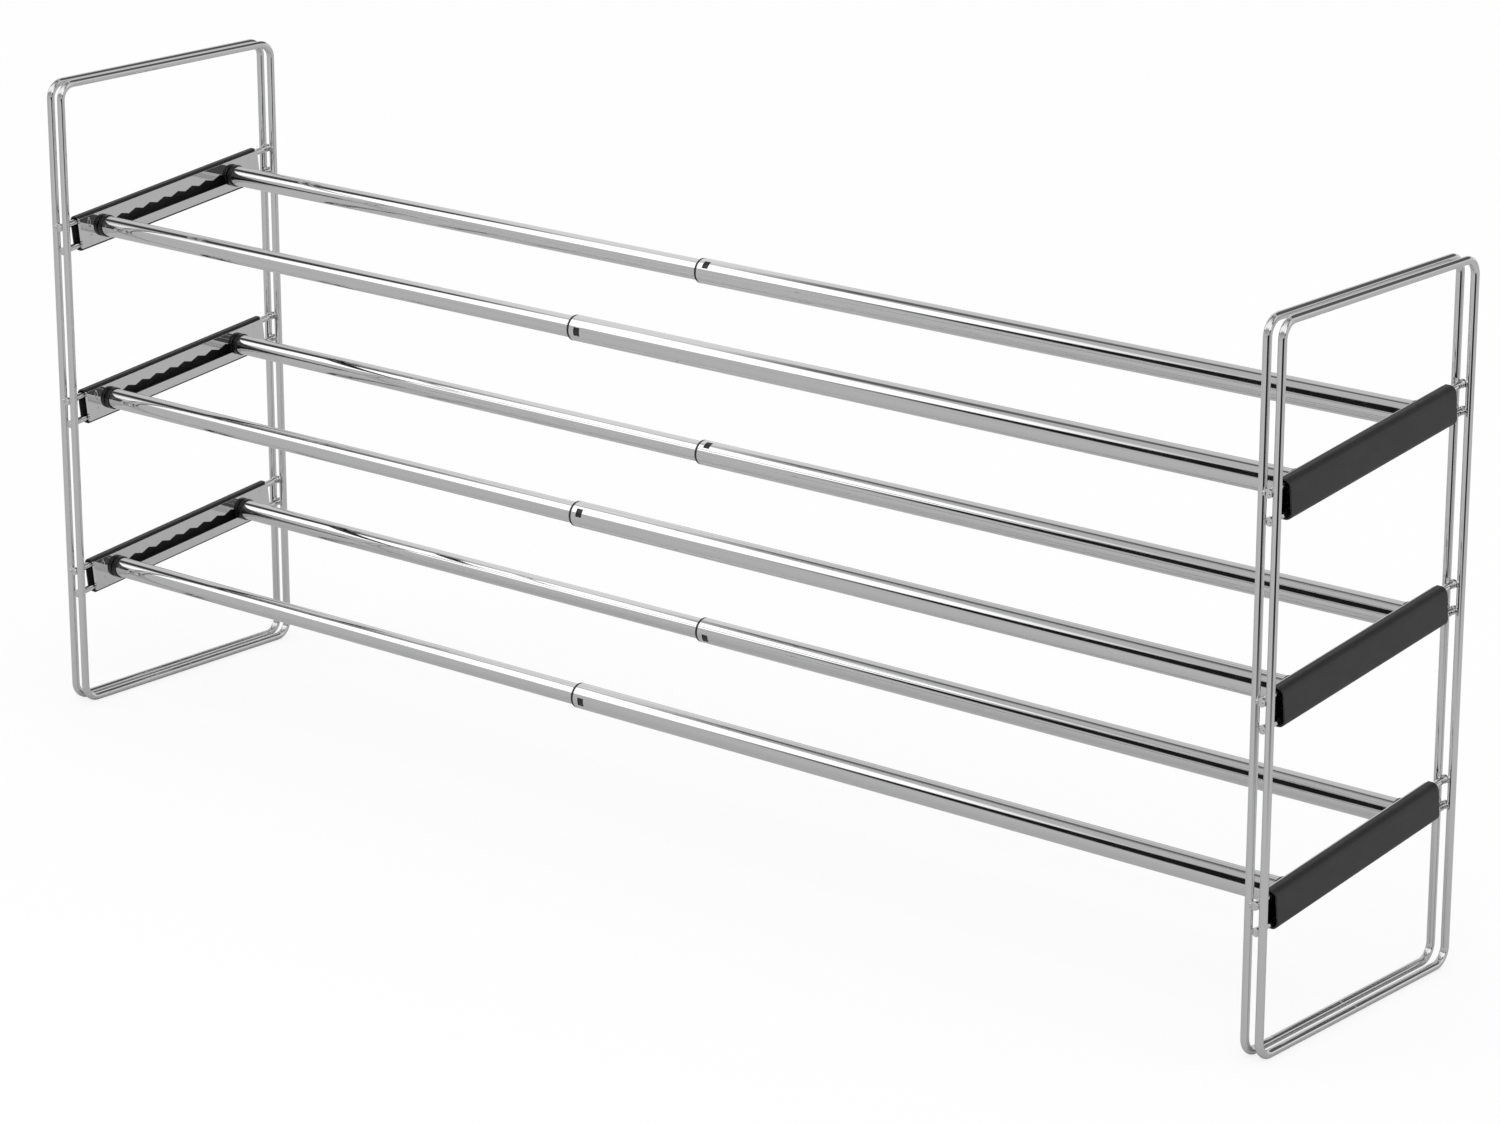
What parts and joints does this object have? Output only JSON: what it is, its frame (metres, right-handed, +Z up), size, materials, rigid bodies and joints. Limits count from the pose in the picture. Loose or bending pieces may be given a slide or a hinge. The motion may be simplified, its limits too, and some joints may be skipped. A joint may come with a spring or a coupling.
{
  "type": "pull out shoe rack",
  "caption": "Chromed wire shoe rack with sloping telescopic bars between two end frames that pull apart sideways.",
  "frame": {"origin": "on the floor under the middle of the rack, drawn pulled out", "axes": "+X along the bars from the thin tubes to the thick tubes, +Y to the rear, +Z up"},
  "size_m": [1.1524, 0.2314, 0.5059],
  "materials": {
    "chrome": "mirror chrome plate on steel",
    "black_plastic": "fine matt grain"
  },
  "bodies": {
    "left_frame": {"left_outer_loop": "chrome", "left_inner_loop": "chrome", "left_bottom_upper_cross_wire": "chrome", "left_bottom_lower_cross_wire": "chrome", "left_bottom_slot_plate": "chrome", "left_bottom_cover": "black_plastic", "left_middle_upper_cross_wire": "chrome", "left_middle_lower_cross_wire": "chrome", "left_middle_slot_plate": "chrome", "left_middle_cover": "black_plastic", "left_top_upper_cross_wire": "chrome", "left_top_lower_cross_wire": "chrome", "left_top_slot_plate": "chrome", "left_top_cover": "black_plastic"},
    "right_frame": {"right_outer_loop": "chrome", "right_inner_loop": "chrome", "right_bottom_upper_cross_wire": "chrome", "right_bottom_lower_cross_wire": "chrome", "right_bottom_slot_plate": "chrome", "right_bottom_cover": "black_plastic", "right_middle_upper_cross_wire": "chrome", "right_middle_lower_cross_wire": "chrome", "right_middle_slot_plate": "chrome", "right_middle_cover": "black_plastic", "right_top_upper_cross_wire": "chrome", "right_top_lower_cross_wire": "chrome", "right_top_slot_plate": "chrome", "right_top_cover": "black_plastic"},
    "bottom_front_inner_bar": {"bottom_front_left_plug": "black_plastic", "bottom_front_inner_tube": "chrome"},
    "bottom_front_outer_bar": {"bottom_front_outer_tube": "chrome", "bottom_front_collar": "black_plastic", "bottom_front_right_plug": "black_plastic"},
    "bottom_rear_inner_bar": {"bottom_rear_left_plug": "black_plastic", "bottom_rear_inner_tube": "chrome"},
    "bottom_rear_outer_bar": {"bottom_rear_outer_tube": "chrome", "bottom_rear_collar": "black_plastic", "bottom_rear_right_plug": "black_plastic"},
    "middle_front_inner_bar": {"middle_front_left_plug": "black_plastic", "middle_front_inner_tube": "chrome"},
    "middle_front_outer_bar": {"middle_front_outer_tube": "chrome", "middle_front_collar": "black_plastic", "middle_front_right_plug": "black_plastic"},
    "middle_rear_inner_bar": {"middle_rear_left_plug": "black_plastic", "middle_rear_inner_tube": "chrome"},
    "middle_rear_outer_bar": {"middle_rear_outer_tube": "chrome", "middle_rear_collar": "black_plastic", "middle_rear_right_plug": "black_plastic"},
    "top_front_inner_bar": {"top_front_left_plug": "black_plastic", "top_front_inner_tube": "chrome"},
    "top_front_outer_bar": {"top_front_outer_tube": "chrome", "top_front_collar": "black_plastic", "top_front_right_plug": "black_plastic"},
    "top_rear_inner_bar": {"top_rear_left_plug": "black_plastic", "top_rear_inner_tube": "chrome"},
    "top_rear_outer_bar": {"top_rear_outer_tube": "chrome", "top_rear_collar": "black_plastic", "top_rear_right_plug": "black_plastic"}
  },
  "joints": [
    {"name": "pull_out", "type": "slide", "parent": "left_frame", "child": "right_frame", "axis": [1, 0, 0], "range_m": [-0.48, 0]},
    {"name": "bottom_front_outer_slide", "type": "slide", "parent": "right_frame", "child": "bottom_front_outer_bar", "axis": [0, 0.9936, 0.1132], "range_m": [0, 0.0616]},
    {"name": "bottom_front_inner_slide", "type": "slide", "parent": "left_frame", "child": "bottom_front_inner_bar", "axis": [0, 0.9936, 0.1132], "range_m": [0, 0.0616]},
    {"name": "bottom_rear_outer_slide", "type": "slide", "parent": "right_frame", "child": "bottom_rear_outer_bar", "axis": [0, 0.9936, 0.1132], "range_m": [-0.0462, 0]},
    {"name": "bottom_rear_inner_slide", "type": "slide", "parent": "left_frame", "child": "bottom_rear_inner_bar", "axis": [0, 0.9936, 0.1132], "range_m": [-0.0462, 0]},
    {"name": "middle_front_outer_slide", "type": "slide", "parent": "right_frame", "child": "middle_front_outer_bar", "axis": [0, 0.9936, 0.1132], "range_m": [0, 0.0616]},
    {"name": "middle_front_inner_slide", "type": "slide", "parent": "left_frame", "child": "middle_front_inner_bar", "axis": [0, 0.9936, 0.1132], "range_m": [0, 0.0616]},
    {"name": "middle_rear_outer_slide", "type": "slide", "parent": "right_frame", "child": "middle_rear_outer_bar", "axis": [0, 0.9936, 0.1132], "range_m": [-0.0462, 0]},
    {"name": "middle_rear_inner_slide", "type": "slide", "parent": "left_frame", "child": "middle_rear_inner_bar", "axis": [0, 0.9936, 0.1132], "range_m": [-0.0462, 0]},
    {"name": "top_front_outer_slide", "type": "slide", "parent": "right_frame", "child": "top_front_outer_bar", "axis": [0, 0.9936, 0.1132], "range_m": [0, 0.0616]},
    {"name": "top_front_inner_slide", "type": "slide", "parent": "left_frame", "child": "top_front_inner_bar", "axis": [0, 0.9936, 0.1132], "range_m": [0, 0.0616]},
    {"name": "top_rear_outer_slide", "type": "slide", "parent": "right_frame", "child": "top_rear_outer_bar", "axis": [0, 0.9936, 0.1132], "range_m": [-0.0462, 0]},
    {"name": "top_rear_inner_slide", "type": "slide", "parent": "left_frame", "child": "top_rear_inner_bar", "axis": [0, 0.9936, 0.1132], "range_m": [-0.0462, 0]}
  ],
  "couplings": [
    {"joint": "bottom_front_inner_slide", "follows": "bottom_front_outer_slide", "ratio": 1},
    {"joint": "bottom_rear_inner_slide", "follows": "bottom_rear_outer_slide", "ratio": 1},
    {"joint": "middle_front_inner_slide", "follows": "middle_front_outer_slide", "ratio": 1},
    {"joint": "middle_rear_inner_slide", "follows": "middle_rear_outer_slide", "ratio": 1},
    {"joint": "top_front_inner_slide", "follows": "top_front_outer_slide", "ratio": 1},
    {"joint": "top_rear_inner_slide", "follows": "top_rear_outer_slide", "ratio": 1}
  ]
}
